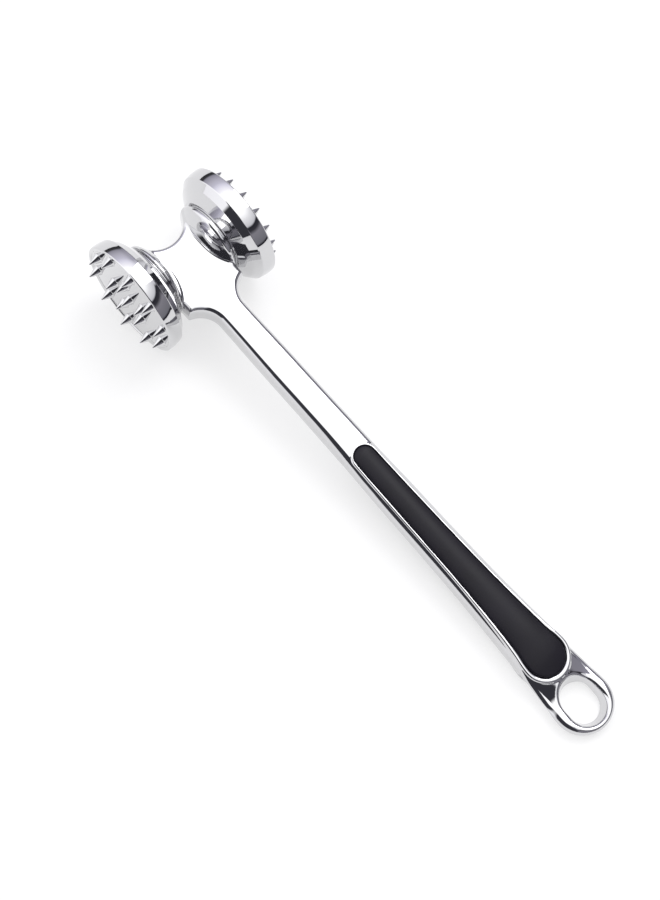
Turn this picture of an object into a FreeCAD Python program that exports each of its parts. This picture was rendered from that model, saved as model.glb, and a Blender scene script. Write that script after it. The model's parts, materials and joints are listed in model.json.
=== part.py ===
import FreeCAD, Part
import math
import os
import Sketcher

# Meat mallet with two spiked striking discs on a yoke, a gripped handle and a hang loop.
# Design frame of every sub-part: the origin is where the discs' common axis crosses the
# handle's centre line, +X runs along the handle to the hang loop, the discs face -Y and +Y,
# and Z is normal to the handle's broad face. A shared placement then lays the whole mallet
# down as it rests on a table, on the rims of its discs and on the hang loop.

DIMENSIONS = [
    # striking discs, seen along their axis; distances are from the handle's centre plane
    ("disc_radius", 23.0),
    ("disc_edge_round", 0.6),
    ("disc_back", 14.0),
    ("disc_back_radius", 15.2),
    ("disc_shoulder", 17.0),
    ("disc_shoulder_radius", 19.8),
    ("disc_band_start", 19.4),
    ("disc_band_round", 1.0),
    ("disc_face", 25.1),
    ("field_depth", 0.4),
    ("field_radius", 21.4),
    ("field_wall", 0.5),
    # spikes cast on the discs
    ("spike_tip", 28.9),
    ("spike_tip_radius", 0.25),
    ("coarse_spike_radius", 2.1),
    ("coarse_outer_ring", 18.5),
    ("coarse_outer_count", 10),
    ("coarse_inner_ring", 8.5),
    ("coarse_inner_count", 5),
    ("fine_spike_radius", 2.05),
    ("fine_outer_ring", 18.6),
    ("fine_outer_count", 16),
    ("fine_middle_ring", 12.0),
    ("fine_middle_count", 10),
    ("fine_inner_ring", 6.0),
    ("fine_inner_count", 5),
    ("spike_turn", 18.0),
    # collars between the necks and the discs, and the studs through them
    ("collar_start", 12.9),
    ("collar_radius", 13.4),
    ("collar_round", 0.25),
    ("stud_radius", 2.95),
    ("stud_start", 5.2),
    ("stud_end", 19.8),
    ("stud_chamfer", 0.5),
    ("bore_radius", 3.0),
    ("bore_start", 5.0),
    ("bore_end", 20.0),
    # yoke and its bell-shaped necks
    ("yoke_half_height", 5.0),
    ("yoke_edge_round", 1.8),
    ("yoke_far_end", 14.0),
    ("far_arc_centre", 17.2),
    ("far_arc_radius", 11.2),
    ("near_arc_centre_along", 27.5),
    ("near_arc_centre_across", 14.5),
    ("near_arc_radius", 8.9),
    ("neck_core_radius", 4.0),
    ("neck_root", 7.9),
    ("neck_lip_radius", 14.6),
    ("neck_lip", 11.9),
    ("neck_flare", 16.0),
    # handle: distance along it, half width, half height and edge round of each section
    ("stem_root_half_width", 5.6),
    ("stem_first_along", 44.0),
    ("stem_first_half_width", 5.85),
    ("stem_first_half_height", 4.95),
    ("stem_first_round", 2.3),
    ("stem_mid_along", 60.0),
    ("stem_mid_half_width", 6.05),
    ("stem_mid_half_height", 5.0),
    ("stem_mid_round", 2.5),
    ("stem_last_along", 77.0),
    ("stem_last_half_width", 6.15),
    ("stem_last_half_height", 5.2),
    ("stem_last_round", 2.6),
    ("stem_end_along", 93.0),
    ("stem_end_half_width", 6.4),
    ("stem_end_half_height", 5.0),
    ("stem_end_round", 2.7),
    ("grip_start_along", 109.0),
    ("grip_start_half_width", 7.0),
    ("grip_start_half_height", 4.3),
    ("grip_start_round", 2.9),
    ("grip_first_along", 130.0),
    ("grip_first_half_width", 7.4),
    ("grip_first_half_height", 4.4),
    ("grip_first_round", 3.0),
    ("grip_mid_along", 150.0),
    ("grip_mid_half_width", 7.75),
    ("grip_mid_half_height", 4.6),
    ("grip_mid_round", 3.0),
    ("grip_last_along", 170.0),
    ("grip_last_half_width", 8.5),
    ("grip_last_half_height", 4.9),
    ("grip_last_round", 2.9),
    ("grip_end_along", 188.0),
    ("grip_end_half_width", 9.6),
    ("grip_end_half_height", 4.8),
    ("grip_end_round", 2.8),
    ("tail_root_along", 202.0),
    ("tail_root_half_width", 11.0),
    ("tail_root_half_height", 3.9),
    ("tail_root_round", 2.7),
    # hang loop
    ("loop_centre_along", 212.2),
    ("loop_radius", 11.7),
    ("loop_half_height", 3.0),
    ("loop_round", 2.6),
    ("hole_radius", 6.7),
    ("hole_half_straight", 1.7),
    ("hole_taper_height", 5.0),
    ("hole_under_radius", 5.2),
    ("hole_upper_radius", 8.4),
    # recesses for the grip inlays, and the inlays
    ("recess_floor", 3.0),
    ("recess_top", 9.0),
    ("recess_start", 98.7),
    ("recess_start_radius", 4.3),
    ("recess_mid", 147.0),
    ("recess_mid_half_width", 5.2),
    ("recess_end", 191.8),
    ("recess_end_radius", 7.7),
    ("inlay_gap", 0.1),
    ("inlay_edge_round", 0.5),
    ("crown_start_height", 5.0),
    ("crown_end_height", 4.6),
    ("crown_radius", 1150.0),
    # how the mallet lies on a table
    ("rest_tilt", 5.185),
    ("rest_lift", 23.0),
    ("rest_shift", 100.01),
    # how far a cut runs past the surface it opens
    ("cut_margin", 1.0),
]

VALUE = dict(DIMENSIONS)
SHEET = "Dims"

document = FreeCAD.newDocument("meat_mallet")
sheet = document.addObject("Spreadsheet::Sheet", SHEET)
for row, (alias, size) in enumerate(DIMENSIONS, start=1):
    sheet.set(f"A{row}", alias)
    sheet.set(f"B{row}", str(size))
    sheet.setAlias(f"B{row}", alias)
document.recompute()


def amount(text):
    """Number that a sum of dimensions such as 'disc_face - field_depth' stands for."""
    total = 0.0
    sign = 1.0
    for word in text.split():
        if word == "-":
            sign = -1.0
        elif word != "+":
            total += sign * (VALUE[word] if word in VALUE else float(word))
            sign = 1.0
    return total


def formula(text):
    """The same sum as an expression that reads the sheet."""
    return " ".join(f"{SHEET}.{word}" if word in VALUE else word for word in text.split())


def negative(text):
    """The sum with every sign turned round."""
    words = text.split()
    if words[0] not in "+-":
        words.insert(0, "+")
    swap = {"+": "-", "-": "+"}
    turned = " ".join(swap.get(word, word) for word in words)
    return turned.removeprefix("+ ")


def rest_placement(turn_about_axis=0.0, faces_minus_y=False):
    """Places a sub-part in the mallet, lying on the table."""
    turn = FreeCAD.Rotation(FreeCAD.Vector(0, 1, 0), turn_about_axis)
    half_turn = FreeCAD.Rotation(FreeCAD.Vector(0, 0, 1), 180.0 if faces_minus_y else 0.0)
    tilt = FreeCAD.Rotation(FreeCAD.Vector(0, 1, 0), VALUE["rest_tilt"])
    base = FreeCAD.Vector(-VALUE["rest_shift"], 0, VALUE["rest_lift"])
    return FreeCAD.Placement(base, tilt * half_turn * turn)


def new_body(label, turn_about_axis=0.0, faces_minus_y=False):
    """A named sub-part whose place follows the sheet."""
    body = document.addObject("PartDesign::Body", label)
    body.Label = label
    body.Placement = rest_placement(turn_about_axis, faces_minus_y)
    body.setExpression("Placement.Base.x", f"-{SHEET}.rest_shift")
    body.setExpression("Placement.Base.z", f"{SHEET}.rest_lift")
    return body


def new_blank(name):
    """A solid in the design frame, used to build a sub-part by booleans."""
    return document.addObject("PartDesign::Body", name)


def origin_feature(body, role):
    return next(item for item in body.Origin.OriginFeatures if item.Role == role)


def new_sketch(body, name, role="XY_Plane", offset=None):
    """A sketch on one of the body's own origin planes, or at a distance from it."""
    sketch = body.newObject("Sketcher::SketchObject", name)
    sketch.AttachmentSupport = [(origin_feature(body, role), "")]
    sketch.MapMode = "FlatFace"
    if offset:
        distance = FreeCAD.Vector(0, 0, amount(offset))
        sketch.AttachmentOffset = FreeCAD.Placement(distance, FreeCAD.Rotation())
        sketch.setExpression("AttachmentOffset.Base.z", formula(offset))
    return sketch


def bind(sketch, constraint, text):
    """Adds a constraint whose value is a sum read from the sheet."""
    number = sketch.addConstraint(constraint)
    sketch.setExpression(f"Constraints[{number}]", formula(text))


def arc_between(start, end, radius, turns_left):
    """Minor arc from start to end, turning left or right as it goes."""
    chord = end - start
    height = math.sqrt(max(radius**2 - (chord.Length / 2) ** 2, 0.0))
    side = FreeCAD.Vector(-chord.y, chord.x, 0).normalize()
    centre = (start + end) / 2 + side * (height if turns_left else -height)
    first, last = (start, end) if turns_left else (end, start)
    begin = math.atan2(first.y - centre.y, first.x - centre.x)
    finish = math.atan2(last.y - centre.y, last.x - centre.x)
    if finish <= begin:
        finish += 2 * math.pi
    circle = Part.Circle(centre, FreeCAD.Vector(0, 0, 1), radius)
    return Part.ArcOfCircle(circle, begin, finish)


def outline(sketch, corners, arcs=None):
    """Closed outline through corners, each a pair of sums. arcs gives, by the number of the
    corner that an edge leaves, the edge's radius and whether it turns left."""
    arcs = arcs or {}
    points = [FreeCAD.Vector(amount(x), amount(y), 0) for x, y in corners]
    edges = []
    for number, start in enumerate(points):
        end = points[(number + 1) % len(points)]
        if number in arcs:
            radius, turns_left = arcs[number]
            curve = arc_between(start, end, amount(radius), turns_left)
            edge = sketch.addGeometry(curve, False)
            edges.append((edge, 1, 2) if turns_left else (edge, 2, 1))
        else:
            edge = sketch.addGeometry(Part.LineSegment(start, end), False)
            edges.append((edge, 1, 2))
    for number, (edge, begin, _) in enumerate(edges):
        before, _, end = edges[number - 1]
        sketch.addConstraint(Sketcher.Constraint("Coincident", before, end, edge, begin))
    for number, (x, y) in enumerate(corners):
        edge, begin, _ = edges[number]
        for kind, axis, text in (("DistanceX", -2, x), ("DistanceY", -1, y)):
            if text == "0":
                sketch.addConstraint(Sketcher.Constraint("PointOnObject", edge, begin, axis))
            else:
                place = Sketcher.Constraint(kind, -1, 1, edge, begin, amount(text))
                bind(sketch, place, text)
    for number, (radius, _) in arcs.items():
        size = Sketcher.Constraint("Radius", edges[number][0], amount(radius))
        bind(sketch, size, radius)


def round_bar_section(sketch, half_width, half_height, edge_round):
    """Rectangle with round corners, centred on the sketch's origin."""
    inner_width = f"{half_width} - {edge_round}"
    inner_height = f"{half_height} - {edge_round}"
    corners = [
        (inner_width, negative(half_height)),
        (half_width, negative(inner_height)),
        (half_width, inner_height),
        (inner_width, half_height),
        (negative(inner_width), half_height),
        (negative(half_width), inner_height),
        (negative(half_width), negative(inner_height)),
        (negative(inner_width), negative(half_height)),
    ]
    outline(sketch, corners, {number: (edge_round, True) for number in (0, 2, 4, 6)})


def slot_section(sketch, centre, half_straight, radius):
    """Oval hole made of two half circles, along the sketch's X."""
    near = f"{centre} - {half_straight}"
    far = f"{centre} + {half_straight}"
    corners = [
        (near, negative(radius)),
        (far, negative(radius)),
        (f"{far} + {radius}", "0"),
        (far, radius),
        (near, radius),
        (f"{near} - {radius}", "0"),
    ]
    outline(sketch, corners, {number: (radius, True) for number in (1, 2, 4, 5)})


def revolve(body, sketch, name, kind="PartDesign::Revolution", axis="V_Axis"):
    """Turns a sketch a full circle about one of its axes."""
    feature = body.newObject(kind, name)
    feature.Profile = sketch
    feature.ReferenceAxis = (sketch, [axis])
    feature.Angle = 360.0
    return feature


def fillet(body, base, name, radius, wanted):
    """Rounds the edges of base for which wanted(edge) is true."""
    document.recompute()
    names = [f"Edge{n}" for n, edge in enumerate(base.Shape.Edges, start=1) if wanted(edge)]
    feature = body.newObject("PartDesign::Fillet", name)
    feature.Base = (base, names)
    feature.setExpression("Radius", formula(radius))
    document.recompute()
    return feature


def near(value, target):
    return abs(value - target) < 1e-4


# --- striking discs ---------------------------------------------------------------------


def disc_blank(body):
    """Disc with a coned back, a rounded side band and a shallow field for the spikes."""
    sketch = new_sketch(body, f"{body.Label}_profile")
    field = "disc_face - field_depth"
    corners = [
        ("0", "disc_back"),
        ("disc_back_radius", "disc_back"),
        ("disc_shoulder_radius", "disc_shoulder"),
        ("disc_radius - disc_band_round", "disc_band_start - disc_band_round"),
        ("disc_radius", "disc_band_start"),
        ("disc_radius", "disc_face - disc_edge_round"),
        ("disc_radius - disc_edge_round", "disc_face"),
        ("field_radius", "disc_face"),
        ("field_radius - field_wall", field),
        ("0", field),
    ]
    outline(sketch, corners, {3: ("disc_band_round", True), 5: ("disc_edge_round", True)})
    return revolve(body, sketch, f"{body.Label}_blank")


def spike(body, name, plane, ring, radius):
    """One spike: a cone with a blunt tip, standing on the disc's field at a ring's radius."""
    sketch = new_sketch(body, f"{name}_profile", plane)
    root = "disc_face - field_depth - field_depth"
    if plane == "XY_Plane":
        corners = [(ring, root), (f"{ring} + {radius}", root),
                   (f"{ring} + spike_tip_radius", "spike_tip"), (ring, "spike_tip")]
    else:
        corners = [(root, ring), (root, f"{ring} + {radius}"),
                   ("spike_tip", f"{ring} + spike_tip_radius"), ("spike_tip", ring)]
    if ring == "0":
        corners = [(x.removeprefix("0 + "), y) for x, y in corners]
    outline(sketch, corners)
    first = FreeCAD.Vector(amount(corners[0][0]), amount(corners[0][1]), 0)
    last = FreeCAD.Vector(amount(corners[3][0]), amount(corners[3][1]), 0)
    line = sketch.addGeometry(Part.LineSegment(first, last), True)
    sketch.addConstraint(Sketcher.Constraint("Coincident", line, 1, 0, 1))
    sketch.addConstraint(Sketcher.Constraint("Coincident", line, 2, 3, 1))
    return revolve(body, sketch, name, axis="Axis0")


def spike_ring(body, name, plane, ring, radius, count):
    """A ring of equal spikes about the disc's axis."""
    first = spike(body, name, plane, ring, radius)
    document.recompute()
    pattern = body.newObject("PartDesign::PolarPattern", f"{name}s")
    pattern.Originals = [first]
    pattern.Axis = (origin_feature(body, "Y_Axis"), [""])
    pattern.Angle = 360.0
    pattern.Occurrences = VALUE[count]
    pattern.setExpression("Occurrences", formula(count))
    body.Tip = pattern
    document.recompute()


def stud_bore(body, name, start, end, kind="PartDesign::Groove"):
    """Round bore on the discs' axis, between two distances from the centre plane."""
    sketch = new_sketch(body, f"{name}_profile")
    outline(sketch, [("0", start), ("bore_radius", start), ("bore_radius", end), ("0", end)])
    return revolve(body, sketch, name, kind)


def striking_disc(label, turn, faces_minus_y, spike_radius, rings):
    """Whole disc. rings lists each ring of spikes: name, sketch plane, radius and count."""
    body = new_body(label, turn, faces_minus_y)
    disc_blank(body)
    stud_bore(body, f"{label}_bore", "disc_back - cut_margin", "bore_end")
    for name, plane, ring, count in rings:
        spike_ring(body, f"{label}_{name}_spike", plane, ring, spike_radius, count)
    spike(body, f"{label}_centre_spike", "XY_Plane", "0", spike_radius)
    document.recompute()
    return body


coarse_disc = striking_disc(
    "coarse_striking_disc", VALUE["spike_turn"], True, "coarse_spike_radius",
    [("outer", "XY_Plane", "coarse_outer_ring", "coarse_outer_count"),
     ("inner", "YZ_Plane", "coarse_inner_ring", "coarse_inner_count")],
)
fine_disc = striking_disc(
    "fine_striking_disc", 0.0, False, "fine_spike_radius",
    [("outer", "XY_Plane", "fine_outer_ring", "fine_outer_count"),
     ("middle", "XY_Plane", "fine_middle_ring", "fine_middle_count"),
     ("inner", "XY_Plane", "fine_inner_ring", "fine_inner_count")],
)


# --- collars and studs ------------------------------------------------------------------


def disc_collar(label, faces_minus_y):
    """Plain ring that spaces a disc from its neck."""
    body = new_body(label, 0.0, faces_minus_y)
    sketch = new_sketch(body, f"{label}_profile")
    corners = [
        ("bore_radius", "collar_start"),
        ("collar_radius - collar_round", "collar_start"),
        ("collar_radius", "collar_start + collar_round"),
        ("collar_radius", "disc_back - collar_round"),
        ("collar_radius - collar_round", "disc_back"),
        ("bore_radius", "disc_back"),
    ]
    outline(sketch, corners, {1: ("collar_round", True), 3: ("collar_round", True)})
    revolve(body, sketch, f"{label}_ring")
    return body


def disc_stud(label, faces_minus_y):
    """Concealed stud from the neck through the collar into the disc."""
    body = new_body(label, 0.0, faces_minus_y)
    sketch = new_sketch(body, f"{label}_profile")
    corners = [
        ("0", "stud_start"),
        ("stud_radius - stud_chamfer", "stud_start"),
        ("stud_radius", "stud_start + stud_chamfer"),
        ("stud_radius", "stud_end - stud_chamfer"),
        ("stud_radius - stud_chamfer", "stud_end"),
        ("0", "stud_end"),
    ]
    outline(sketch, corners)
    revolve(body, sketch, f"{label}_shank")
    return body


collars = [disc_collar("coarse_disc_collar", True), disc_collar("fine_disc_collar", False)]
studs = [disc_stud("coarse_disc_stud", True), disc_stud("fine_disc_stud", False)]


# --- handle casting ---------------------------------------------------------------------


def yoke_plate(body):
    """Flat yoke seen from above: a hollow far edge and two hollow corners into the stem."""
    sketch = new_sketch(body, "yoke_outline")
    far_reach = amount("far_arc_centre - yoke_far_end")
    far_half = math.sqrt(VALUE["far_arc_radius"] ** 2 - far_reach**2)
    near_rise = amount("near_arc_centre_across - collar_start")
    near_reach = math.sqrt(VALUE["near_arc_radius"] ** 2 - near_rise**2)
    points = [
        FreeCAD.Vector(-VALUE["yoke_far_end"], -VALUE["collar_start"], 0),
        FreeCAD.Vector(VALUE["near_arc_centre_along"] - near_reach, -VALUE["collar_start"], 0),
        FreeCAD.Vector(VALUE["near_arc_centre_along"], -VALUE["stem_root_half_width"], 0),
        FreeCAD.Vector(-VALUE["yoke_far_end"], -far_half, 0),
    ]
    flip = [FreeCAD.Vector(point.x, -point.y, 0) for point in points]
    path = [points[0], points[1], points[2], flip[2], flip[1], flip[0], flip[3], points[3]]
    near_radius = VALUE["near_arc_radius"]
    far_radius = VALUE["far_arc_radius"]
    curves = {1: near_radius, 3: near_radius, 6: far_radius}
    edges = []
    for number, start in enumerate(path):
        end = path[(number + 1) % len(path)]
        if number in curves:
            curve = arc_between(start, end, curves[number], False)
            edges.append((sketch.addGeometry(curve, False), 2, 1))
        else:
            line = Part.LineSegment(start, end)
            edges.append((sketch.addGeometry(line, False), 1, 2))
    add = sketch.addConstraint
    for number, (edge, begin, _) in enumerate(edges):
        before, _, finish = edges[number - 1]
        add(Sketcher.Constraint("Coincident", before, finish, edge, begin))
    for number in (0, 4):
        add(Sketcher.Constraint("Horizontal", edges[number][0]))
    for number in (2, 5, 7):
        add(Sketcher.Constraint("Vertical", edges[number][0]))
    bottom, _, _ = edges[0]
    top, _, _ = edges[4]
    stem_end, stem_low, stem_high = edges[2]
    near_low, near_high, far = edges[1][0], edges[3][0], edges[6][0]
    placed = [
        ("DistanceX", bottom, 1, "- yoke_far_end"),
        ("DistanceY", bottom, 1, "- collar_start"),
        ("DistanceX", top, 2, "- yoke_far_end"),
        ("DistanceY", top, 2, "collar_start"),
        ("DistanceX", stem_end, stem_low, "near_arc_centre_along"),
        ("DistanceY", stem_end, stem_low, "- stem_root_half_width"),
        ("DistanceY", stem_end, stem_high, "stem_root_half_width"),
        ("DistanceX", near_low, 3, "near_arc_centre_along"),
        ("DistanceX", near_high, 3, "near_arc_centre_along"),
        ("DistanceX", far, 3, "- far_arc_centre"),
    ]
    for kind, edge, point, text in placed:
        bind(sketch, Sketcher.Constraint(kind, -1, 1, edge, point, amount(text)), text)
    for edge, text in ((near_low, "near_arc_radius"), (near_high, "near_arc_radius"),
                       (far, "far_arc_radius")):
        bind(sketch, Sketcher.Constraint("Radius", edge, amount(text)), text)
    add(Sketcher.Constraint("PointOnObject", far, 3, -1))
    pad = body.newObject("PartDesign::Pad", "yoke_plate")
    pad.Profile = sketch
    pad.Midplane = True
    pad.setExpression("Length", f"2 * {SHEET}.yoke_half_height")

    def rim_edge(edge):
        middle = edge.CenterOfMass
        at_rim = near(abs(middle.z), VALUE["yoke_half_height"])
        return at_rim and isinstance(edge.Curve, Part.Circle)

    return fillet(body, pad, "yoke_edges", "yoke_edge_round", rim_edge)


def handle_loft(body):
    """Stem, grip and tail as one smooth bar through round-cornered sections."""
    stations = [
        ("stem_root", "near_arc_centre_along", "stem_root_half_width",
         "yoke_half_height", "yoke_edge_round"),
    ]
    for name in ("stem_first", "stem_mid", "stem_last", "stem_end", "grip_start", "grip_first",
                 "grip_mid", "grip_last", "grip_end", "tail_root"):
        stations.append((name, f"{name}_along", f"{name}_half_width",
                         f"{name}_half_height", f"{name}_round"))
    stations.append(("loop_root", "loop_centre_along", "loop_radius",
                     "loop_half_height", "loop_round"))
    sketches = []
    for name, along, half_width, half_height, edge_round in stations:
        sketch = new_sketch(body, f"{name}_section", "YZ_Plane", along)
        round_bar_section(sketch, half_width, half_height, edge_round)
        sketches.append(sketch)
    loft = body.newObject("PartDesign::AdditiveLoft", "handle_bar")
    loft.Profile = (sketches[0], [""])
    loft.Sections = [(sketch, [""]) for sketch in sketches[1:]]
    loft.Ruled = False
    loft.Closed = False
    return loft


def necks(body):
    """Bell-shaped necks that carry the discs, joined through the yoke by a hidden core."""
    quarter = [
        ("neck_core_radius", "neck_root"),
        ("neck_lip_radius", "neck_lip"),
        ("neck_lip_radius", "collar_start - collar_round"),
        ("neck_lip_radius - collar_round", "collar_start"),
        ("0", "collar_start"),
    ]
    mirrored = [(x, negative(y)) for x, y in reversed(quarter)]
    arcs = {1: ("collar_round", True), 3: ("neck_flare", True),
            5: ("neck_flare", True), 7: ("collar_round", True)}
    sketch = new_sketch(body, "neck_profile")
    outline(sketch, mirrored + quarter, arcs)
    return revolve(body, sketch, "necks")


def loop_end(body):
    """Round end of the hang loop, beyond the last section of the handle."""
    sketch = new_sketch(body, "loop_outline")
    corners = [
        ("loop_centre_along", "- loop_radius"),
        ("loop_centre_along + loop_radius", "0"),
        ("loop_centre_along", "loop_radius"),
    ]
    outline(sketch, corners, {0: ("loop_radius", True), 1: ("loop_radius", True)})
    pad = body.newObject("PartDesign::Pad", "loop_end")
    pad.Profile = sketch
    pad.Midplane = True
    pad.setExpression("Length", f"2 * {SHEET}.loop_half_height")

    def rim_edge(edge):
        middle = edge.CenterOfMass
        at_rim = near(abs(middle.z), VALUE["loop_half_height"])
        return at_rim and isinstance(edge.Curve, Part.Circle)

    return fillet(body, pad, "loop_edges", "loop_round", rim_edge)


def hang_hole(body):
    """Oval hole through the loop, which widens towards the upper face."""
    sections = []
    for name, height, radius in (
        ("hole_low", "- hole_taper_height", "hole_under_radius"),
        ("hole_waist", None, "hole_radius"),
        ("hole_high", "hole_taper_height", "hole_upper_radius"),
    ):
        sketch = new_sketch(body, name, "XY_Plane", height)
        slot_section(sketch, "loop_centre_along", "hole_half_straight", radius)
        sections.append(sketch)
    hole = body.newObject("PartDesign::AdditiveLoft", "hang_hole")
    hole.Profile = (sections[0], [""])
    hole.Sections = [(sketch, [""]) for sketch in sections[1:]]
    hole.Ruled = True
    hole.Closed = False


def inlay_outline(sketch, gap=""):
    """Long drop shape of the grip inlay, narrow towards the head; gap shrinks it all round."""
    shrink = f" - {gap}" if gap else ""
    start_radius = f"recess_start_radius{shrink}"
    mid_width = f"recess_mid_half_width{shrink}"
    end_radius = f"recess_end_radius{shrink}"
    corners = [
        ("recess_start", negative(start_radius)),
        ("recess_mid", negative(mid_width)),
        ("recess_end", negative(end_radius)),
        (f"recess_end + {end_radius}", "0"),
        ("recess_end", end_radius),
        ("recess_mid", mid_width),
        ("recess_start", start_radius),
        (f"recess_start {negative(start_radius)}", "0"),
    ]
    arcs = {2: (end_radius, True), 3: (end_radius, True),
            6: (start_radius, True), 7: (start_radius, True)}
    outline(sketch, corners, arcs)


def inlay_recess(body, name, side):
    """Space for one grip inlay, from the recess's floor outwards."""
    floor = "recess_floor" if side > 0 else "- recess_floor"
    sketch = new_sketch(body, f"{name}_outline", "XY_Plane", floor)
    inlay_outline(sketch)
    pad = body.newObject("PartDesign::Pad", name)
    pad.Profile = sketch
    pad.Reversed = side < 0
    pad.setExpression("Length", formula("recess_top"))


def handle_casting():
    """The whole casting: yoke, necks, handle and hang loop, less its hole, bores and recesses."""
    solids = []
    for name, shape in (("yoke_blank", yoke_plate), ("neck_blank", necks),
                        ("bar_blank", handle_loft), ("loop_blank", loop_end)):
        solids.append(new_blank(name))
        shape(solids[-1])
    spaces = [new_blank("hole_space")]
    hang_hole(spaces[0])
    for name, start, end in (
        ("fine_bore", "bore_start", "collar_start + cut_margin"),
        ("coarse_bore", "- collar_start - cut_margin", "- bore_start"),
    ):
        spaces.append(new_blank(f"{name}_space"))
        stud_bore(spaces[-1], name, start, end, "PartDesign::Revolution")
    for name, side in (("upper_recess", 1), ("lower_recess", -1)):
        spaces.append(new_blank(f"{name}_space"))
        inlay_recess(spaces[-1], name, side)
    whole = document.addObject("Part::MultiFuse", "casting_blank")
    whole.Shapes = solids
    removed = document.addObject("Part::MultiFuse", "casting_spaces")
    removed.Shapes = spaces
    casting = document.addObject("Part::Cut", "handle_casting")
    casting.Label = "handle_casting"
    casting.Base = whole
    casting.Tool = removed
    casting.Placement = rest_placement()
    casting.setExpression("Placement.Base.x", f"-{SHEET}.rest_shift")
    casting.setExpression("Placement.Base.z", f"{SHEET}.rest_lift")
    document.recompute()
    return casting


casting = handle_casting()


# --- grip inlays ------------------------------------------------------------------------


def grip_inlay(label, side):
    """Soft inlay that fills a recess, crowned along its length, with a rounded rim."""
    body = new_body(label)
    signed = (lambda text: text) if side > 0 else negative
    sketch = new_sketch(body, f"{label}_outline", "XY_Plane", signed("recess_floor"))
    inlay_outline(sketch, "inlay_gap")
    pad = body.newObject("PartDesign::Pad", f"{label}_blank")
    pad.Profile = sketch
    pad.Reversed = side < 0
    pad.setExpression("Length", formula("recess_top - recess_floor"))
    crown = new_sketch(body, f"{label}_crown", "XZ_Plane")
    low = "recess_start - recess_start_radius - cut_margin"
    high = "recess_end + recess_end_radius + cut_margin"
    top = "recess_top + cut_margin"
    corners = [
        (low, signed("crown_start_height")),
        (high, signed("crown_end_height")),
        (high, signed(top)),
        (low, signed(top)),
    ]
    outline(crown, corners, {0: ("crown_radius", side < 0)})
    cut = body.newObject("PartDesign::Pocket", f"{label}_top")
    cut.Profile = crown
    cut.Midplane = True
    cut.Type = "ThroughAll"
    document.recompute()

    def rim_edge(edge):
        heights = [abs(vertex.Z) for vertex in edge.Vertexes]
        return min(heights) > VALUE["recess_floor"] + VALUE["inlay_edge_round"]

    fillet(body, cut, f"{label}_rim", "inlay_edge_round", rim_edge)
    return body


inlays = [grip_inlay("upper_grip_inlay", 1), grip_inlay("lower_grip_inlay", -1)]


# --- checks and files -------------------------------------------------------------------

document.recompute()
sub_parts = [casting, coarse_disc, fine_disc, *collars, *studs, *inlays]
for item in document.Objects:
    if "Invalid" in item.State or "Error" in item.State:
        raise RuntimeError(f"{item.Name} did not build")
for part in sub_parts:
    if part.Shape.isNull() or not part.Shape.isValid() or len(part.Shape.Solids) != 1:
        raise RuntimeError(f"{part.Label} is not one valid solid")

os.makedirs("parts", exist_ok=True)
for part in sub_parts:
    part.Shape.exportStep(f"parts/{part.Label}.step")
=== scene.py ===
import json
import math

import bpy
import numpy as np
from mathutils import Matrix, Vector


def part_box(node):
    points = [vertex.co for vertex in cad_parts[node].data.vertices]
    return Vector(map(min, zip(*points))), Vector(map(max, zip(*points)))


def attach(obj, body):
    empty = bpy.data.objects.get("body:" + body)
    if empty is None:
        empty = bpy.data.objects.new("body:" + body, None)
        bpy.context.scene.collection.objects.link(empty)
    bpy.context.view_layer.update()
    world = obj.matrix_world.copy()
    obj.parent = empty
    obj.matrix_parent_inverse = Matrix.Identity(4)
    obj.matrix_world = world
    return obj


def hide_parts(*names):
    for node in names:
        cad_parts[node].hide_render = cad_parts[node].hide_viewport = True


# Looks for the meat mallet. Shapes are worked out in the mallet's design frame, in millimetres:
# the origin is where the discs' axis crosses the handle's centre line, +X runs along the handle
# to the hang loop, the coarse disc faces -Y, and Z is normal to the handle's broad face.

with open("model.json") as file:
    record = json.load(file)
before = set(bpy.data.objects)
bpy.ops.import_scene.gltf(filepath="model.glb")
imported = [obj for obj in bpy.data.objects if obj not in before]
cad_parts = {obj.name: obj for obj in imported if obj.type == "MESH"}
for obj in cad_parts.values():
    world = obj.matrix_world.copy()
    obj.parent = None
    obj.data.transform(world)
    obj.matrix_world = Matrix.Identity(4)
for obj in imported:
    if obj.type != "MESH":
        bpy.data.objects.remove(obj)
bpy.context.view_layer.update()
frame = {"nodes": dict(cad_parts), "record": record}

MM = 0.001
disc_low, disc_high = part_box("coarse_striking_disc")
# REST carries the design frame into the shared frame, where the tool lies tilted at rest.
HEAD = Vector(((disc_low.x + disc_high.x) / 2, 0.0, (disc_low.z + disc_high.z) / 2))
hang_axis = next(m["axis"] for m in frame["record"]["mounts"] if m["name"] == "hang_hole")
REST_TILT = math.atan2(hang_axis[0], hang_axis[2])
REST = Matrix.Translation(HEAD) @ Matrix.Rotation(REST_TILT, 4, "Y")


# --- placing and meshing ------------------------------------------------------------------


def make_piece(name, points, faces, normals, material, replaces):
    """Mesh object from points in the design frame. Normals are one per point, or None."""
    turn = np.array(REST.to_3x3())
    world = points @ turn.T * MM + np.array(HEAD)
    mesh = bpy.data.meshes.new(name)
    mesh.from_pydata(world.tolist(), [], faces)
    mesh.update()
    mesh.polygons.foreach_set("use_smooth", [True] * len(mesh.polygons))
    if normals is not None:
        mesh.normals_split_custom_set_from_vertices((normals @ turn.T).tolist())
    piece = bpy.data.objects.new(name, mesh)
    bpy.context.scene.collection.objects.link(piece)
    mesh.materials.append(material)
    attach(piece, "root")
    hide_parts(*replaces)


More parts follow.
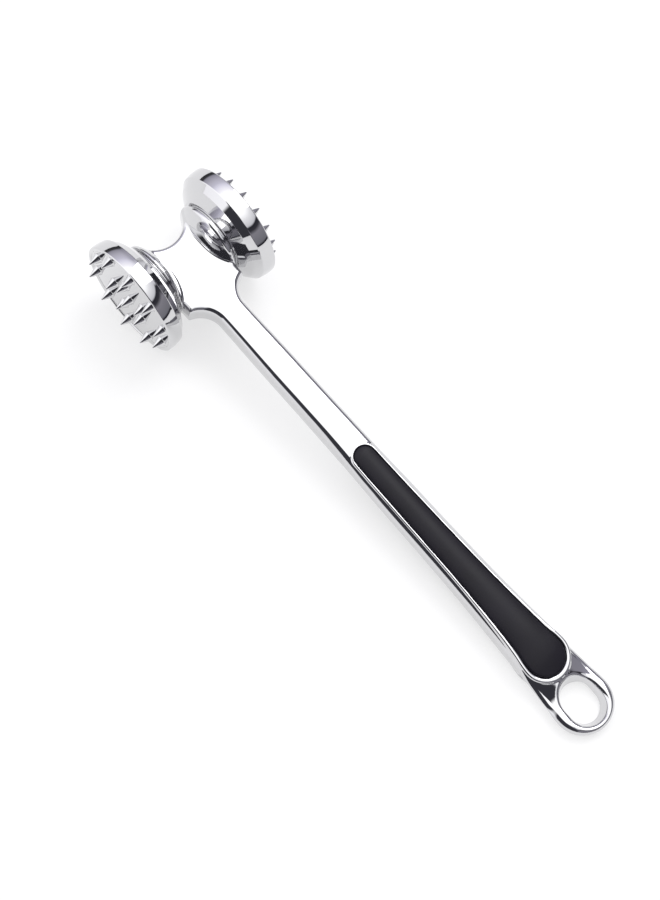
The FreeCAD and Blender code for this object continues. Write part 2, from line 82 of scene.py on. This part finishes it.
def curve(stations, along):
    """Smooth curve with no overshoot through (along, value) stations."""
    x, y = np.array(stations, float).T
    step = np.diff(x)
    rise = np.diff(y) / step
    slope = np.zeros_like(y)
    same = rise[:-1] * rise[1:] > 0
    mean = 2 * rise[:-1] * rise[1:] / np.where(same, rise[:-1] + rise[1:], 1.0)
    slope[1:-1] = np.where(same, mean, 0.0)
    place = np.clip(along, x[0], x[-1])
    i = np.clip(np.searchsorted(x, place, side="right") - 1, 0, len(x) - 2)
    t = (place - x[i]) / step[i]
    u = 1 - t
    start = y[i] * (1 + 2 * t) + slope[i] * step[i] * t
    end = y[i + 1] * (1 + 2 * u) - slope[i + 1] * step[i] * u
    return start * u**2 + end * t**2


def blend_max(a, b, width):
    """Larger of two distances, rounded where they cross."""
    near = np.maximum(width - np.abs(a - b), 0.0) / width
    return np.maximum(a, b) + near * near * width / 4


def blend_min(a, b, width):
    """Smaller of two distances, rounded where they cross."""
    return -blend_max(-a, -b, width)


def rounded_pair(a, b, radius):
    """Distance to the common part of two half spaces, with a round edge."""
    a = a + radius
    b = b + radius
    outside = np.hypot(np.maximum(a, 0.0), np.maximum(b, 0.0))
    return outside + np.minimum(np.maximum(a, b), 0.0) - radius


# --- handle casting -----------------------------------------------------------------------

# Tables give values at stations along the handle. The yoke's outline has an arc on each side of
# the stem (along, across, radius) and one in its far end (distance past the origin, radius).
NEAR_ARC = 27.5, 14.5, 8.9
FAR_ARC = 17.2, 11.2
YOKE_BLEND = 0.8
STEM_ROOT = 5.6
YOKE_SIDE = 12.7
YOKE_FAR_END = 14.0
HALF_WIDTH = ((27.5, 5.6), (44, 5.9), (56, 6.05), (70, 6.1), (84, 6.2), (98, 6.55),
              (106, 6.9), (114, 7.15), (124, 7.3), (136, 7.45), (148, 7.7), (160, 8.05),
              (170, 8.5), (180, 9.05), (188, 9.6), (196, 10.4), (204, 11.25), (212.2, 11.65))
HALF_HEIGHT = ((27.5, 5.0), (56, 4.95), (70, 5.1), (84, 5.25), (92, 5.0), (100, 4.5),
               (106, 4.25), (124, 4.3), (136, 4.45), (148, 4.6), (160, 4.75), (170, 4.9),
               (180, 4.95), (187, 4.8), (196, 4.3), (204, 3.6), (212.2, 3.0))
EDGE_ROUND = ((-14, 1.6), (10, 1.8), (27.5, 2.3), (44, 2.6), (84, 2.6), (100, 2.8), (110, 3.0),
              (150, 3.0), (170, 2.8), (186, 2.4), (204, 2.5), (212.2, 2.6))
SIDE_BULGE = ((27.5, 0.2), (60, 0.3), (93, 0.35), (109, 0.3), (150, 0.3), (186, 0.4),
              (204, 0.2), (212.2, 0.0))
# The saddle by the loop falls away to both sides from SADDLE_START, over SADDLE_REACH.
SADDLE_FALL = ((186, 0.0), (196, 0.48), (204, 0.44), (212, 0.1), (224, 0.0))
SADDLE_START = 2.5
SADDLE_REACH = 6.5
SADDLE_EASE = 1.5
LOOP_CENTRE = 212.2
LOOP_RADIUS = 11.65
# The hang hole is a little longer than wide and widens upwards, by HOLE_TAPER per millimetre.
HOLE_STRAIGHT = 1.7
HOLE_RADIUS = 6.7
HOLE_TAPER = 0.34
HOLE_WALL_SCALE = 0.95
HOLE_ROUND = 1.3
# The neck under a collar is a bowl. Its curve has an arc's distance from the discs' axis, place
# across and radius.
NECK_CURVE = 4.0, 23.9, 16.0
NECK_END = 12.9
LIP_RADIUS = 14.6
LIP_BLEND = 0.6
NECK_END_BLEND = 0.4
NECK_BLEND = 1.1
BORE_RADIUS = 3.0
BORE_START = 5.0
# The grip inlay's round ends are (along, radius). Its width table gives half widths.
PAD_ENDS = (98.7, 4.3), (191.8, 7.7)
PAD_WIDTH = ((98.7, 4.3), (107, 4.45), (127, 4.75), (143, 5.05), (158, 5.5), (168, 5.95),
             (178, 6.5), (184, 6.95), (191.8, 7.7))
PAD_EDGE_HEIGHT = ((94, 4.85), (100, 4.55), (108, 4.35), (124, 4.4), (136, 4.55), (148, 4.7),
                   (160, 4.9), (170, 5.1), (180, 5.2), (188, 5.1), (200, 4.4))
LOWER_PAD_CROWN = ((94, 0.9), (110, 1.1), (165, 1.1), (180, 0.85), (190, 0.4), (200, 0.25))
UPPER_PAD_CROWN = ((94, 0.9), (110, 1.15), (165, 1.35), (180, 1.5), (190, 1.3), (200, 1.0))
PAD_GAP = 0.1
PAD_FLOOR_GAP = 0.05
PAD_EDGE_ROUND = 0.55
BEAD_RADIUS = ((94, 0.35), (150, 0.35), (178, 0.6), (190, 0.85), (200, 1.0))
BEAD_BLEND = 0.7
RECESS_FLOOR = 3.0
RECESS_EDGE_BLEND = 0.25


def pad_outline(x, y):
    """Distance outside the grip inlay's outline, seen from above."""
    (start, start_radius), (end, end_radius) = PAD_ENDS
    side = np.abs(y) - curve(PAD_WIDTH, x)
    side = np.where(x < start, np.hypot(x - start, y) - start_radius, side)
    return np.where(x > end, np.hypot(x - end, y) - end_radius, side)


def casting(points):
    """Distance outside the handle casting."""
    x, y, z = points.T
    across = np.abs(y)
    height = np.abs(z)
    half_height = curve(HALF_HEIGHT, x)
    hollow_along, hollow_across, hollow_radius = NEAR_ARC
    corner = np.hypot(np.minimum(x - hollow_along, 0.0), np.maximum(hollow_across - across, 0.0))
    side = hollow_radius - corner - (curve(HALF_WIDTH, x) - STEM_ROOT)
    side = blend_max(side, FAR_ARC[1] - np.hypot(x + FAR_ARC[0], y), YOKE_BLEND)
    side = blend_max(side, across - YOKE_SIDE, YOKE_BLEND)
    side = blend_max(side, -YOKE_FAR_END - x, YOKE_BLEND)
    side = np.where(x > LOOP_CENTRE, np.hypot(x - LOOP_CENTRE, y) - LOOP_RADIUS, side)
    side = side + curve(SIDE_BULGE, x) * (height / half_height) ** 2
    outward = np.clip(across - SADDLE_START, 0.0, SADDLE_REACH)
    fall = curve(SADDLE_FALL, x) * outward ** 2 / (outward + SADDLE_EASE)
    metal = rounded_pair(side, height - half_height + fall, curve(EDGE_ROUND, x))

    rim = pad_outline(x, y)
    bead_radius = curve(BEAD_RADIUS, x)
    bead = np.hypot(rim - bead_radius, height - curve(PAD_EDGE_HEIGHT, x) + bead_radius)
    metal = blend_min(metal, bead - bead_radius, BEAD_BLEND)

    oval = np.hypot(np.maximum(np.abs(x - LOOP_CENTRE) - HOLE_STRAIGHT, 0.0), y)
    hole = (HOLE_RADIUS + HOLE_TAPER * z - oval) * HOLE_WALL_SCALE
    metal = rounded_pair(metal, hole, HOLE_ROUND)

    turned = np.hypot(x, z)
    reach, rise, radius = NECK_CURVE
    neck = np.hypot(np.maximum(turned - reach, 0.0), across - rise) - radius
    neck = blend_max(neck, turned - LIP_RADIUS, LIP_BLEND)
    neck = blend_max(neck, across - NECK_END, NECK_END_BLEND)
    metal = blend_min(metal, neck, NECK_BLEND)

    recess = np.maximum(rim, RECESS_FLOOR - height)
    metal = blend_max(metal, -recess, RECESS_EDGE_BLEND)
    bore = np.maximum(turned - BORE_RADIUS, BORE_START - across)
    return np.maximum(metal, -bore)


def slope_of(distance, points):
    """Gradient of a distance, by central differences."""
    reach = 0.01
    parts = []
    for axis in np.eye(3):
        parts.append(distance(points + reach * axis) - distance(points - reach * axis))
    return np.stack(parts, 1) / (2 * reach)


CLOSING_STEPS = 4
LEAST_SLOPE_SQUARED = 0.25


def surface(distance, blocks, pitch):
    """Quads on the surface where a distance is zero. Blocks are (low, high) corners that
    together hold the surface; points are moved on to the exact surface."""
    low = np.min([b[0] for b in blocks], 0)
    high = np.max([b[1] for b in blocks], 0)
    count = np.ceil((high - low) / pitch).astype(int) + 1
    values = np.ones(count)
    for block_low, block_high in blocks:
        first = np.floor((np.array(block_low) - low) / pitch).astype(int)
        last = np.minimum(np.ceil((np.array(block_high) - low) / pitch).astype(int) + 1, count)
        axes = [low[i] + pitch * np.arange(first[i], last[i]) for i in range(3)]
        grid = np.stack(np.meshgrid(*axes, indexing="ij"), -1)
        part = distance(grid.reshape(-1, 3)).reshape(grid.shape[:3])
        values[first[0]:last[0], first[1]:last[1], first[2]:last[2]] = part
    inside = values < 0
    corners = [(i, j, k) for i in (0, 1) for j in (0, 1) for k in (0, 1)]
    size = count - 1

    def shifted(array, offset):
        i, j, k = offset
        return array[i:i + size[0], j:j + size[1], k:k + size[2]]

    total = sum(shifted(inside, c).astype(np.int8) for c in corners)
    cells = np.argwhere((total > 0) & (total < len(corners)))
    number = np.full(size, -1)
    number[tuple(cells.T)] = np.arange(len(cells))
    places = np.zeros((len(cells), 3))
    crossings = np.zeros(len(cells))
    for a in corners:
        for b in corners:
            if sum(b) - sum(a) != 1 or any(q < p for p, q in zip(a, b)):
                continue
            va = values[tuple((cells + a).T)]
            vb = values[tuple((cells + b).T)]
            cut = (va < 0) != (vb < 0)
            t = np.where(cut, va / np.where(cut, va - vb, 1.0), 0.0)[:, None]
            spot = np.array(a) * (1 - t) + np.array(b) * t
            places += np.where(cut[:, None], spot, 0.0)
            crossings += cut
    points = low + pitch * (cells + places / crossings[:, None])
    faces = []
    for axis in range(3):
        one, two = [(1, 2), (2, 0), (0, 1)][axis]
        here = [slice(None)] * 3
        here[axis] = slice(0, -1)
        there = [slice(None)] * 3
        there[axis] = slice(1, None)
        start, end = inside[tuple(here)], inside[tuple(there)]
        edges = np.argwhere(start != end)
        keep = (edges[:, one] > 0) & (edges[:, two] > 0)
        keep &= (edges[:, one] < size[one]) & (edges[:, two] < size[two])
        edges = edges[keep]
        leaving = start[tuple(edges.T)]
        ring = []
        for da, db in ((1, 1), (0, 1), (0, 0), (1, 0)):
            cell = edges.copy()
            cell[:, one] -= da
            cell[:, two] -= db
            ring.append(number[tuple(cell.T)])
        quads = np.stack(ring, 1)
        quads[~leaving] = quads[~leaving][:, ::-1]
        faces.append(quads)
    for _ in range(CLOSING_STEPS):
        value = distance(points)
        gradient = slope_of(distance, points)
        length = np.maximum((gradient**2).sum(1), LEAST_SLOPE_SQUARED)
        step = -(value / length)[:, None] * gradient
        points = points + np.clip(step, -pitch / 2, pitch / 2)
    normals = slope_of(distance, points)
    normals /= np.linalg.norm(normals, axis=1)[:, None]
    return points, np.concatenate(faces), normals


# --- turned shapes ------------------------------------------------------------------------


LEAST_ARC_STEPS = 3
ARC_STEP = math.radians(9)


def rounded_profile(corners):
    """Points and outward normals along a turned outline. Each corner is (radius, along, round);
    the outline runs with the metal on its left."""
    pairs = np.array([c[:2] for c in corners], float)
    places, normals = [], []
    for i, (corner, size) in enumerate(zip(pairs, (c[2] for c in corners))):
        if i in (0, len(pairs) - 1):
            along = pairs[1] - pairs[0] if i == 0 else pairs[-1] - pairs[-2]
            along = along / np.linalg.norm(along)
            places.append(corner)
            normals.append((along[1], -along[0]))
            continue
        before = corner - pairs[i - 1]
        after = pairs[i + 1] - corner
        before /= np.linalg.norm(before)
        after /= np.linalg.norm(after)
        turn = math.atan2(before[0] * after[1] - before[1] * after[0], before @ after)
        reach = size * math.tan(abs(turn) / 2)
        side = 1 if turn > 0 else -1
        centre = corner - before * reach + side * size * np.array((-before[1], before[0]))
        steps = max(LEAST_ARC_STEPS, int(abs(turn) / ARC_STEP))
        for step in range(steps + 1):
            angle = turn * step / steps
            c, s = math.cos(angle), math.sin(angle)
            heading = np.array((before[0] * c - before[1] * s, before[0] * s + before[1] * c))
            outward = np.array((heading[1], -heading[0]))
            places.append(centre + side * size * outward)
            normals.append(outward)
    return np.array(places), np.array(normals)


def lathe(corners, segments):
    """Turned shape about +Y, open at both ends of its outline."""
    places, normals = rounded_profile(corners)
    angles = 2 * math.pi * np.arange(segments) / segments
    sines, cosines = np.sin(angles), np.cos(angles)
    points, outwards = [], []
    for (r, y), (nr, ny) in zip(places, normals):
        points.append(np.stack([r * sines, np.full(segments, y), r * cosines], 1))
        outwards.append(np.stack([nr * sines, np.full(segments, ny), nr * cosines], 1))
    faces = []
    for ring in range(len(places) - 1):
        for i in range(segments):
            j = (i + 1) % segments
            a, b = ring * segments, (ring + 1) * segments
            faces.append((a + i, a + j, b + j, b + i))
    return np.concatenate(points), faces, np.concatenate(outwards)


def joined(parts):
    """One mesh from several (points, faces, normals)."""
    points, faces, normals, count = [], [], [], 0
    for part_points, part_faces, part_normals in parts:
        points.append(part_points)
        normals.append(part_normals)
        faces.extend(tuple(count + i for i in face) for face in part_faces)
        count += len(part_points)
    return np.concatenate(points), faces, np.concatenate(normals)


DISC_BACK = 14.0
DISC_FACE = 25.1
FIELD = 24.7
DISC_SEGMENTS = 180
SPIKE_TIP = 28.89
SPIKE_TIP_RADIUS = 0.22
SPIKE_TIP_ROUND = SPIKE_TIP_RADIUS * 0.8
SPIKE_SEGMENTS = 28
NEAR_AXIS = 0.01


def spike(radius, centre):
    """A cast spike that flares a little where it grows out of the field."""
    x, z = centre
    corners = [
        (radius + 0.4, FIELD - 0.15, 0), (radius + 0.1, FIELD + 0.05, 0.25),
        (radius - 0.2, FIELD + 0.5, 0.6), (SPIKE_TIP_RADIUS, SPIKE_TIP, SPIKE_TIP_ROUND),
        (NEAR_AXIS, SPIKE_TIP, 0),
    ]
    points, faces, normals = lathe(corners, SPIKE_SEGMENTS)
    return points + np.array((x, 0.0, z)), faces, normals


def disc(rings, spike_radius, faces_minus_y):
    """Striking disc: coned back, rounded shoulder, convex band, shallow field and spikes. Each
    ring of spikes is (radius, count, first angle in degrees)."""
    corners = [
        (BORE_RADIUS, DISC_BACK, 0), (15.2, DISC_BACK, 0.3), (19.8, 16.9, 0.9),
        (22.35, 19.4, 0.9), (23.0, 22.4, 14.0), (22.8, DISC_FACE, 0.6), (21.5, DISC_FACE, 0.3),
        (21.1, FIELD, 0.3), (NEAR_AXIS, FIELD, 0),
    ]
    parts = [lathe(corners, DISC_SEGMENTS)]
    for ring_radius, count, first in rings:
        for i in range(count):
            angle = math.radians(first + 360.0 * i / count)
            centre = ring_radius * math.sin(angle), ring_radius * math.cos(angle)
            parts.append(spike(spike_radius, centre))
    points, faces, normals = joined(parts)
    if faces_minus_y:
        half_turn = np.array(Matrix.Rotation(math.pi, 3, "Z"))
        points, normals = points @ half_turn.T, normals @ half_turn.T
    return points, faces, normals


# --- grip inlays --------------------------------------------------------------------------


LENGTHWISE_STEPS = 150
END_STEPS = 40
START_STEPS = 30
EDGE_STEPS = 6
CROWN_STEPS = 14


def grip_pad(side):
    """Crowned inlay: rings that rise along its rounded edge, then shrink to its spine."""
    (start, start_radius), (end, end_radius) = PAD_ENDS
    lengthwise = np.linspace(start, end, LENGTHWISE_STEPS)
    half = curve(PAD_WIDTH, lengthwise) - PAD_GAP
    far_angles = np.linspace(math.pi / 2, -math.pi / 2, END_STEPS)[1:-1]
    near_angles = np.linspace(-math.pi / 2, -3 * math.pi / 2, START_STEPS)[1:-1]
    far = np.stack([end + (end_radius - PAD_GAP) * np.cos(far_angles),
                    (end_radius - PAD_GAP) * np.sin(far_angles)], 1)
    near = np.stack([start + (start_radius - PAD_GAP) * np.cos(near_angles),
                     (start_radius - PAD_GAP) * np.sin(near_angles)], 1)
    outline = np.concatenate([
        np.stack([lengthwise, half], 1), far,
        np.stack([lengthwise, -half], 1)[::-1], near,
    ])
    count = len(outline)
    spine = np.stack([np.clip(outline[:, 0], start, end), np.zeros(count)], 1)
    width = np.hypot(*(outline - spine).T)
    crown = UPPER_PAD_CROWN if side > 0 else LOWER_PAD_CROWN

    def ring(share):
        """Places and heights of the crowned top at a share of the way out from the spine."""
        place = spine + (outline - spine) * share[:, None]
        rise = curve(crown, place[:, 0]) * (1 - share**2)
        return place, curve(PAD_EDGE_HEIGHT, place[:, 0]) + rise

    points = [np.column_stack([outline, np.full(count, RECESS_FLOOR + PAD_FLOOR_GAP)])]
    for step in range(EDGE_STEPS + 1):
        angle = math.pi / 2 * step / EDGE_STEPS
        place, top = ring(1 - PAD_EDGE_ROUND * (1 - math.cos(angle)) / width)
        points.append(np.column_stack([place, top + PAD_EDGE_ROUND * (math.sin(angle) - 1)]))
    for step in range(1, CROWN_STEPS + 1):
        share = (1 - PAD_EDGE_ROUND / width) * (1 - step / CROWN_STEPS)
        points.append(np.column_stack(ring(share)))
    faces = []
    for level in range(len(points) - 1):
        for i in range(count):
            j = (i + 1) % count
            a, b = level * count, (level + 1) * count
            faces.append((a + i, a + j, b + j, b + i) if side < 0
                         else (a + j, a + i, b + i, b + j))
    points = np.concatenate(points)
    points[:, 2] *= side
    return points, faces


# --- materials ----------------------------------------------------------------------------


def new_material(name):
    """Material with its nodes, links and main shader."""
    material = bpy.data.materials.new(name)
    material.use_nodes = True
    nodes = material.node_tree.nodes
    return material, nodes, material.node_tree.links, nodes["Principled BSDF"]


def add(nodes, kind, **inputs):
    """New node with its inputs set; an underscore stands for a space in an input's name."""
    node = nodes.new(kind)
    for name, value in inputs.items():
        node.inputs[name.replace("_", " ")].default_value = value
    return node


def chrome(name, color, low, high, waviness):
    """Bright plate: roughness from low to high in faint smudges, and the slow ripple of a
    polished casting."""
    material, nodes, links, shader = new_material(name)
    shader.inputs["Base Color"].default_value = (*color, 1)
    shader.inputs["Metallic"].default_value = 1.0
    place = nodes.new("ShaderNodeTexCoord")
    smudge = add(nodes, "ShaderNodeTexNoise", Scale=90.0, Detail=4.0, Roughness=0.6)
    links.new(place.outputs["Object"], smudge.inputs["Vector"])
    gloss = add(nodes, "ShaderNodeMapRange", From_Min=0.35, From_Max=0.75, To_Min=low,
                To_Max=high)
    links.new(smudge.outputs["Fac"], gloss.inputs["Value"])
    links.new(gloss.outputs["Result"], shader.inputs["Roughness"])
    ripple = add(nodes, "ShaderNodeTexNoise", Scale=160.0, Detail=1.0, Roughness=0.4)
    links.new(place.outputs["Object"], ripple.inputs["Vector"])
    bump = add(nodes, "ShaderNodeBump", Strength=waviness, Distance=0.0002)
    links.new(ripple.outputs["Fac"], bump.inputs["Height"])
    links.new(bump.outputs["Normal"], shader.inputs["Normal"])
    return material


def grip_rubber(name):
    """Near-black moulded rubber with a fine spark-eroded grain."""
    material, nodes, links, shader = new_material(name)
    place = nodes.new("ShaderNodeTexCoord")
    cloud = add(nodes, "ShaderNodeTexNoise", Scale=120.0, Detail=3.0)
    links.new(place.outputs["Object"], cloud.inputs["Vector"])
    tone = nodes.new("ShaderNodeValToRGB")
    tone.color_ramp.elements[0].position = 0.3
    tone.color_ramp.elements[0].color = (0.0045, 0.0038, 0.0075, 1)
    tone.color_ramp.elements[1].position = 0.75
    tone.color_ramp.elements[1].color = (0.0080, 0.0068, 0.0125, 1)
    links.new(cloud.outputs["Fac"], tone.inputs["Fac"])
    links.new(tone.outputs["Color"], shader.inputs["Base Color"])
    rough = add(nodes, "ShaderNodeMapRange", To_Min=0.36, To_Max=0.48)
    links.new(cloud.outputs["Fac"], rough.inputs["Value"])
    links.new(rough.outputs["Result"], shader.inputs["Roughness"])
    grain = add(nodes, "ShaderNodeTexNoise", Scale=2600.0, Detail=2.0)
    links.new(place.outputs["Object"], grain.inputs["Vector"])
    shader.inputs["Specular IOR Level"].default_value = 0.22
    bump = add(nodes, "ShaderNodeBump", Strength=0.25, Distance=0.00008)
    links.new(grain.outputs["Fac"], bump.inputs["Height"])
    links.new(bump.outputs["Normal"], shader.inputs["Normal"])
    return material


def turned_steel(name):
    """Plain turned steel with fine rings round its axis."""
    material, nodes, links, shader = new_material(name)
    shader.inputs["Base Color"].default_value = (0.52, 0.52, 0.54, 1)
    shader.inputs["Metallic"].default_value = 1.0
    place = nodes.new("ShaderNodeTexCoord")
    rings = add(nodes, "ShaderNodeTexWave", Scale=900.0, Distortion=0.4)
    rings.bands_direction = "Y"
    links.new(place.outputs["Object"], rings.inputs["Vector"])
    rough = add(nodes, "ShaderNodeMapRange", To_Min=0.26, To_Max=0.42)
    links.new(rings.outputs["Fac"], rough.inputs["Value"])
    links.new(rough.outputs["Result"], shader.inputs["Roughness"])
    return material


PLATE = (0.64, 0.64, 0.65)
DULLER_PLATE = (0.60, 0.60, 0.615)
plated_casting = chrome("plated_casting", PLATE, low=0.02, high=0.06, waviness=0.10)
plated_disc = chrome("plated_disc", PLATE, low=0.02, high=0.06, waviness=0.12)
plated_collar = chrome("plated_collar", DULLER_PLATE, low=0.05, high=0.12, waviness=0.12)
grip_black = grip_rubber("grip_rubber")
stud_steel = turned_steel("stud_steel")


# --- pieces -------------------------------------------------------------------------------

# Boxes that together hold the casting, and the pitch of the grid in them.
HEAD_BLOCK = (-15.4, -13.4, -15.4), (34.0, 13.4, 15.4)
HANDLE_BLOCK = (34.0, -12.4, -7.6), (224.2, 12.4, 7.6)
FULL_PITCH = 0.34
PITCH = FULL_PITCH

points, faces, normals = surface(casting, [HEAD_BLOCK, HANDLE_BLOCK], PITCH)
make_piece("cast_handle", points, faces.tolist(), normals, plated_casting,
           ["handle_casting"])

COARSE_RINGS = (18.5, 10, 0.0), (8.5, 5, 18.0), (0.0, 1, 0.0)
FINE_RINGS = (18.6, 16, 0.0), (12.0, 10, 18.0), (6.0, 5, 18.0), (0.0, 1, 0.0)
for name, node, rings, spike_radius, faces_minus_y in (
    ("coarse_disc", "coarse_striking_disc", COARSE_RINGS, 2.0, True),
    ("fine_disc", "fine_striking_disc", FINE_RINGS, 2.05, False),
):
    points, faces, normals = disc(rings, spike_radius, faces_minus_y)
    make_piece(name, points, faces, normals, plated_disc, [node])

for name, node, side in (("upper_grip_pad", "upper_grip_inlay", 1),
                         ("lower_grip_pad", "lower_grip_inlay", -1)):
    points, faces = grip_pad(side)
    make_piece(name, points, faces, None, grip_black, [node])


def refinish(node, material):
    """Gives a CAD node that stays in view a better material."""
    mesh = frame["nodes"][node].data
    mesh.materials.clear()
    mesh.materials.append(material)


for node in ("coarse_disc_collar", "fine_disc_collar"):
    refinish(node, plated_collar)
for node in ("coarse_disc_stud", "fine_disc_stud"):
    refinish(node, stud_steel)


# --- floor, light and camera --------------------------------------------------------------


FLOOR_HALF = 30.0
FLOOR_TONE = (0.38, 0.38, 0.38, 1)
FLOOR_GLOW = 0.62


def floor_plane():
    """Pale floor that gives off part of its own light, so that shadows on it stay faint."""
    mesh = bpy.data.meshes.new("floor")
    half = FLOOR_HALF
    mesh.from_pydata([(-half, -half, 0), (half, -half, 0), (half, half, 0), (-half, half, 0)],
                     [], [(0, 1, 2, 3)])
    floor = bpy.data.objects.new("floor", mesh)
    bpy.context.scene.collection.objects.link(floor)
    material, _, _, shader = new_material("pale_floor")
    shader.inputs["Base Color"].default_value = FLOOR_TONE
    shader.inputs["Roughness"].default_value = 0.9
    shader.inputs["Specular IOR Level"].default_value = 0.1
    shader.inputs["Emission Color"].default_value = (1, 1, 1, 1)
    shader.inputs["Emission Strength"].default_value = FLOOR_GLOW
    mesh.materials.append(material)


floor_plane()

# Tones of the walls, as (height of the direction, colour) from the horizon to the zenith.
OVERHEAD = (1.75, 1.75, 1.75)
LEFT_WALL = (
    (0.00, (0.05, 0.05, 0.055)), (0.14, (0.05, 0.05, 0.055)), (0.22, (0.40, 0.39, 0.46)),
    (0.45, (0.66, 0.64, 0.74)), (0.60, (0.80, 0.78, 0.92)), (0.71, (1.10, 1.08, 1.24)),
    (0.82, (1.40, 1.38, 1.46)), (0.90, OVERHEAD),
)
RIGHT_WALL = (
    (0.00, (0.02, 0.02, 0.03)), (0.05, (0.03, 0.03, 0.04)), (0.10, (0.22, 0.22, 0.25)),
    (0.45, (0.30, 0.29, 0.33)), (0.56, (0.05, 0.05, 0.06)), (0.66, (0.03, 0.03, 0.04)),
    (0.70, (0.80, 0.80, 0.85)), (0.84, (1.15, 1.15, 1.18)), (0.96, OVERHEAD),
)
BACK_WALL = (
    (0.00, (0.03, 0.03, 0.04)), (0.10, (0.04, 0.04, 0.05)), (0.18, (0.32, 0.31, 0.37)),
    (0.62, (0.40, 0.39, 0.46)), (0.80, (1.30, 1.30, 1.34)), (0.90, OVERHEAD),
)
FRONT_WALL = (
    (0.00, (1.30, 1.29, 1.34)), (0.50, (1.45, 1.45, 1.48)), (0.90, OVERHEAD),
)
# Walls laid over the left one: a direction, how far a view has to go towards it for the wall to
# start and to be full, and the wall's tones. The dark figure is where all its edges hold, with
# the same three values for each.
OTHER_WALLS = (
    ((0, -1, 0), 0.0, 0.35, FRONT_WALL), ((0, 1, 0), 0.40, 0.75, BACK_WALL),
    ((1, 0, 0), 0.05, 0.35, RIGHT_WALL),
)
FIGURE_EDGES = (
    ((0.95, -0.15, 0.27), 0.00, 0.10), ((-0.6, -0.8, 0.0), 0.0, 0.15),
    ((0.0, -1.0, 0.0), 0.2, 0.35), ((0.0, 0.0, -1.0), -0.93, -0.86),
)
FIGURE_TONE = (0.05, 0.05, 0.06, 1)
# Colour sockets of a Mix node: its first two share their names with other sockets.
MIX_UNDER, MIX_OVER, MIX_RESULT = 6, 7, 2


def studio_world():
    """Room for the chrome to reflect: a bright ceiling, walls with light and dark bands, and a
    dark figure before the brightest wall."""
    world = bpy.data.worlds.new("studio")
    bpy.context.scene.world = world
    world.use_nodes = True
    nodes, links = world.node_tree.nodes, world.node_tree.links
    place = nodes.new("ShaderNodeTexCoord")
    split = nodes.new("ShaderNodeSeparateXYZ")
    links.new(place.outputs["Generated"], split.inputs["Vector"])

    def wall(stops):
        """Wall whose tone changes with height."""
        ramp = nodes.new("ShaderNodeValToRGB")
        elements = ramp.color_ramp.elements
        elements[0].position, elements[0].color = stops[0][0], (*stops[0][1], 1)
        elements[1].position, elements[1].color = stops[-1][0], (*stops[-1][1], 1)
        for position, color in stops[1:-1]:
            elements.new(position).color = (*color, 1)
        links.new(split.outputs["Z"], ramp.inputs["Fac"])
        return ramp.outputs["Color"]

    def fade(value, start, full):
        """0 at start and 1 at full, with a soft run between."""
        smooth = nodes.new("ShaderNodeMapRange")
        smooth.interpolation_type = "SMOOTHSTEP"
        smooth.inputs["From Min"].default_value = start
        smooth.inputs["From Max"].default_value = full
        links.new(value, smooth.inputs["Value"])
        return smooth.outputs["Result"]

    def mixed(factor, under, over):
        """Over laid on under; over is a colour or a socket."""
        mix = nodes.new("ShaderNodeMix")
        mix.data_type = "RGBA"
        links.new(factor, mix.inputs["Factor"])
        links.new(under, mix.inputs[MIX_UNDER])
        if isinstance(over, tuple):
            mix.inputs[MIX_OVER].default_value = over
        else:
            links.new(over, mix.inputs[MIX_OVER])
        return mix.outputs[MIX_RESULT]

    def toward(direction):
        """How far a view goes towards a direction."""
        facing = nodes.new("ShaderNodeVectorMath")
        facing.operation = "DOT_PRODUCT"
        facing.inputs[1].default_value = direction
        links.new(place.outputs["Generated"], facing.inputs[0])
        return facing.outputs["Value"]

    room = wall(LEFT_WALL)
    for direction, start, full, stops in OTHER_WALLS:
        room = mixed(fade(toward(direction), start, full), room, wall(stops))
    figure = None
    for direction, start, full in FIGURE_EDGES:
        within = fade(toward(direction), start, full)
        if figure is None:
            figure = within
            continue
        both = nodes.new("ShaderNodeMath")
        both.operation = "MULTIPLY"
        links.new(figure, both.inputs[0])
        links.new(within, both.inputs[1])
        figure = both.outputs["Value"]
    room = mixed(figure, room, FIGURE_TONE)
    links.new(room, nodes["Background"].inputs["Color"])


studio_world()


def softbox(name, place, target, size, power):
    """Rectangular area light that shines at a target."""
    light = bpy.data.lights.new(name, "AREA")
    light.shape = "RECTANGLE"
    light.size, light.size_y = size
    light.energy = power
    lamp = bpy.data.objects.new(name, light)
    lamp.location = place
    lamp.rotation_euler = (Vector(target) - Vector(place)).to_track_quat("-Z", "Y").to_euler()
    bpy.context.scene.collection.objects.link(lamp)


softbox("key", place=(-0.2, 0.9, 1.3), target=(0, 0, 0), size=(1.0, 1.0), power=9.0)

# Camera in the design frame: its place in millimetres, two of its axes and its focal length in
# pixels of an image that is IMAGE_HEIGHT high.
CAMERA_PLACE = Vector((156.18, -166.68, 537.68))
CAMERA_RIGHT = Vector((0.6640, 0.7355, 0.1348))
CAMERA_BACK = Vector((0.1204, -0.2831, 0.9515))
FOCAL_PIXELS = 1589.8
IMAGE_HEIGHT = 900
SENSOR = 36.0
CLIP_NEAR = 0.01
CLIP_FAR = 30.0

camera_data = bpy.data.cameras.new("camera")
camera_data.sensor_width = SENSOR
camera_data.lens = FOCAL_PIXELS / IMAGE_HEIGHT * SENSOR
camera = bpy.data.objects.new("camera", camera_data)
back = CAMERA_BACK.normalized()
right = (CAMERA_RIGHT - back * CAMERA_RIGHT.dot(back)).normalized()
up = back.cross(right)
turn = Matrix((right, up, back)).transposed().to_4x4()
camera.matrix_world = REST @ Matrix.Translation(CAMERA_PLACE * MM) @ turn
camera_data.clip_start = CLIP_NEAR
camera_data.clip_end = CLIP_FAR
bpy.context.scene.collection.objects.link(camera)
bpy.context.scene.camera = camera
bpy.context.scene.view_settings.view_transform = "Standard"
